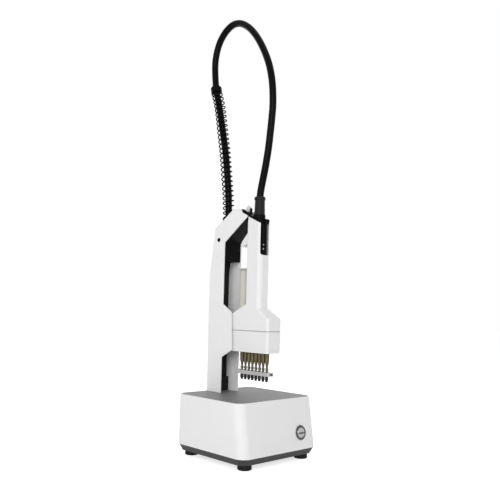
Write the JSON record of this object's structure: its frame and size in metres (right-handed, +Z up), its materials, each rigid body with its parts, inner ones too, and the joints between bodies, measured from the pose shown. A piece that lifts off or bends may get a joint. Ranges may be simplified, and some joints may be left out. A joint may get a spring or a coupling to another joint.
{
  "type": "tube recapper",
  "caption": "Motor-driven handpiece with a row of cap drivers under a gear case and a trigger grip, hung in a holster tower on a bench base, fed by a looping cable with a coil spring",
  "frame": {"origin": "bench level under the middle of the base", "axes": "+Z up, -Y to the front, +X to the right seen from the front"},
  "size_m": [0.181, 0.2119, 0.8162],
  "materials": {
    "white_shell": "smooth satin white",
    "white_plastic": "satin white",
    "top_grey": "satin mid grey",
    "dark_grey": "matt dark grey",
    "rubber_black": "matt black rubber",
    "black_plastic": "satin black",
    "black_wire": "black coated wire",
    "cable_black": "smooth black jacket",
    "steel": "turned steel",
    "button_metal": "brushed stainless",
    "motor_metal": "satin metal can",
    "brass": "dull brass",
    "light_grey": "bead blasted",
    "board": "green board"
  },
  "bodies": {
    "stand": {"base_housing": "white_shell", "top_plate": "top_grey", "bottom_tray": "dark_grey", "rubber_feet": "rubber_black", "foot_screws": "steel", "control_board": "board", "board_standoffs": "steel", "power_supply": "dark_grey", "dc_inlet": "rubber_black", "button_bezel": "button_metal", "button_nut": "steel", "tower_shell": "white_shell", "tower_liner": "black_plastic", "neck_hood": "black_plastic", "foot_block": "black_plastic", "cheek_screws": "black_plastic", "tower_bolts": "steel", "spring_socket": "black_plastic", "cable_spring": "black_wire", "spring_collar": "black_plastic", "cable": "cable_black"},
    "power_button": {"power_button": "button_metal"},
    "handpiece": {"gear_case": "white_plastic", "grip_shell": "white_plastic", "top_cap": "black_plastic", "finger_rest": "white_plastic", "cable_gland": "black_plastic", "gland_nut": "black_plastic", "trigger_pin": "steel", "trigger_switch": "dark_grey", "motor": "motor_metal", "motor_cap": "dark_grey", "bearing_plate": "steel", "spindle_sleeves": "brass", "case_screws": "steel"},
    "trigger": {"trigger": "black_plastic"},
    "torque_knob": {"torque_knob": "light_grey"},
    "stripper": {"stripper_bar": "light_grey", "guide_rods": "steel", "stripper_pin": "dark_grey"},
    "spindle_1": {"spindle_1": "steel", "drive_coupling": "steel"},
    "spindle_2": {"spindle_2": "steel"},
    "spindle_3": {"spindle_3": "steel"},
    "spindle_4": {"spindle_4": "steel"},
    "spindle_5": {"spindle_5": "steel"},
    "spindle_6": {"spindle_6": "steel"},
    "spindle_7": {"spindle_7": "steel"},
    "spindle_8": {"spindle_8": "steel"},
    "idler_1": {"idler_1": "steel"},
    "idler_2": {"idler_2": "steel"},
    "idler_3": {"idler_3": "steel"},
    "idler_4": {"idler_4": "steel"},
    "idler_5": {"idler_5": "steel"},
    "idler_6": {"idler_6": "steel"},
    "idler_7": {"idler_7": "steel"}
  },
  "joints": [
    {"name": "power_button_press", "type": "slide", "parent": "stand", "child": "power_button", "axis": [0, 0.9886, -0.1503], "range_m": [0, 0.0015], "stiffness_N_per_m": 400},
    {"name": "handpiece_lift_out", "type": "slide", "parent": "stand", "child": "handpiece", "axis": [0, -0.8944, 0.4472], "range_m": [0, 0.08], "deforming": ["cable"]},
    {"name": "trigger_pull", "type": "hinge", "parent": "handpiece", "child": "trigger", "pos_m": [0, -0.0382, 0.41387], "axis": [1, 0, 0], "range_deg": [0, 3.5], "stiffness_Nm_per_rad": 1.2},
    {"name": "torque_set", "type": "hinge", "parent": "handpiece", "child": "torque_knob", "pos_m": [0, 0.012, 0.43222], "axis": [0, -0.4305, 0.9026], "range_deg": [0, 270]},
    {"name": "stripper_slide", "type": "slide", "parent": "handpiece", "child": "stripper", "axis": [0, 0, -1], "range_m": [0, 0.008], "stiffness_N_per_m": 400, "springref_m": -0.004},
    {"name": "spindle_1_spin", "type": "hinge", "parent": "handpiece", "child": "spindle_1", "pos_m": [0, 0.0158, 0.2], "axis": [0, 0, 1], "continuous": true},
    {"name": "spindle_2_spin", "type": "hinge", "parent": "handpiece", "child": "spindle_2", "pos_m": [0, 0.0068, 0.2], "axis": [0, 0, 1], "continuous": true},
    {"name": "spindle_3_spin", "type": "hinge", "parent": "handpiece", "child": "spindle_3", "pos_m": [0, -0.0022, 0.2], "axis": [0, 0, 1], "continuous": true},
    {"name": "spindle_4_spin", "type": "hinge", "parent": "handpiece", "child": "spindle_4", "pos_m": [0, -0.0112, 0.2], "axis": [0, 0, 1], "continuous": true},
    {"name": "spindle_5_spin", "type": "hinge", "parent": "handpiece", "child": "spindle_5", "pos_m": [0, -0.0202, 0.2], "axis": [0, 0, 1], "continuous": true},
    {"name": "spindle_6_spin", "type": "hinge", "parent": "handpiece", "child": "spindle_6", "pos_m": [0, -0.0292, 0.2], "axis": [0, 0, 1], "continuous": true},
    {"name": "spindle_7_spin", "type": "hinge", "parent": "handpiece", "child": "spindle_7", "pos_m": [0, -0.0382, 0.2], "axis": [0, 0, 1], "continuous": true},
    {"name": "spindle_8_spin", "type": "hinge", "parent": "handpiece", "child": "spindle_8", "pos_m": [0, -0.0472, 0.2], "axis": [0, 0, 1], "continuous": true},
    {"name": "idler_1_spin", "type": "hinge", "parent": "handpiece", "child": "idler_1", "pos_m": [0.006, 0.0113, 0.2], "axis": [0, 0, 1], "continuous": true},
    {"name": "idler_2_spin", "type": "hinge", "parent": "handpiece", "child": "idler_2", "pos_m": [0.006, 0.0023, 0.2], "axis": [0, 0, 1], "continuous": true},
    {"name": "idler_3_spin", "type": "hinge", "parent": "handpiece", "child": "idler_3", "pos_m": [0.006, -0.0067, 0.2], "axis": [0, 0, 1], "continuous": true},
    {"name": "idler_4_spin", "type": "hinge", "parent": "handpiece", "child": "idler_4", "pos_m": [0.006, -0.0157, 0.2], "axis": [0, 0, 1], "continuous": true},
    {"name": "idler_5_spin", "type": "hinge", "parent": "handpiece", "child": "idler_5", "pos_m": [0.006, -0.0247, 0.2], "axis": [0, 0, 1], "continuous": true},
    {"name": "idler_6_spin", "type": "hinge", "parent": "handpiece", "child": "idler_6", "pos_m": [0.006, -0.0337, 0.2], "axis": [0, 0, 1], "continuous": true},
    {"name": "idler_7_spin", "type": "hinge", "parent": "handpiece", "child": "idler_7", "pos_m": [0.006, -0.0427, 0.2], "axis": [0, 0, 1], "continuous": true}
  ],
  "couplings": [
    {"joint": "spindle_2_spin", "follows": "spindle_1_spin", "ratio": 1},
    {"joint": "spindle_3_spin", "follows": "spindle_1_spin", "ratio": 1},
    {"joint": "spindle_4_spin", "follows": "spindle_1_spin", "ratio": 1},
    {"joint": "spindle_5_spin", "follows": "spindle_1_spin", "ratio": 1},
    {"joint": "spindle_6_spin", "follows": "spindle_1_spin", "ratio": 1},
    {"joint": "spindle_7_spin", "follows": "spindle_1_spin", "ratio": 1},
    {"joint": "spindle_8_spin", "follows": "spindle_1_spin", "ratio": 1},
    {"joint": "idler_1_spin", "follows": "spindle_1_spin", "ratio": -1},
    {"joint": "idler_2_spin", "follows": "spindle_1_spin", "ratio": -1},
    {"joint": "idler_3_spin", "follows": "spindle_1_spin", "ratio": -1},
    {"joint": "idler_4_spin", "follows": "spindle_1_spin", "ratio": -1},
    {"joint": "idler_5_spin", "follows": "spindle_1_spin", "ratio": -1},
    {"joint": "idler_6_spin", "follows": "spindle_1_spin", "ratio": -1},
    {"joint": "idler_7_spin", "follows": "spindle_1_spin", "ratio": -1}
  ]
}
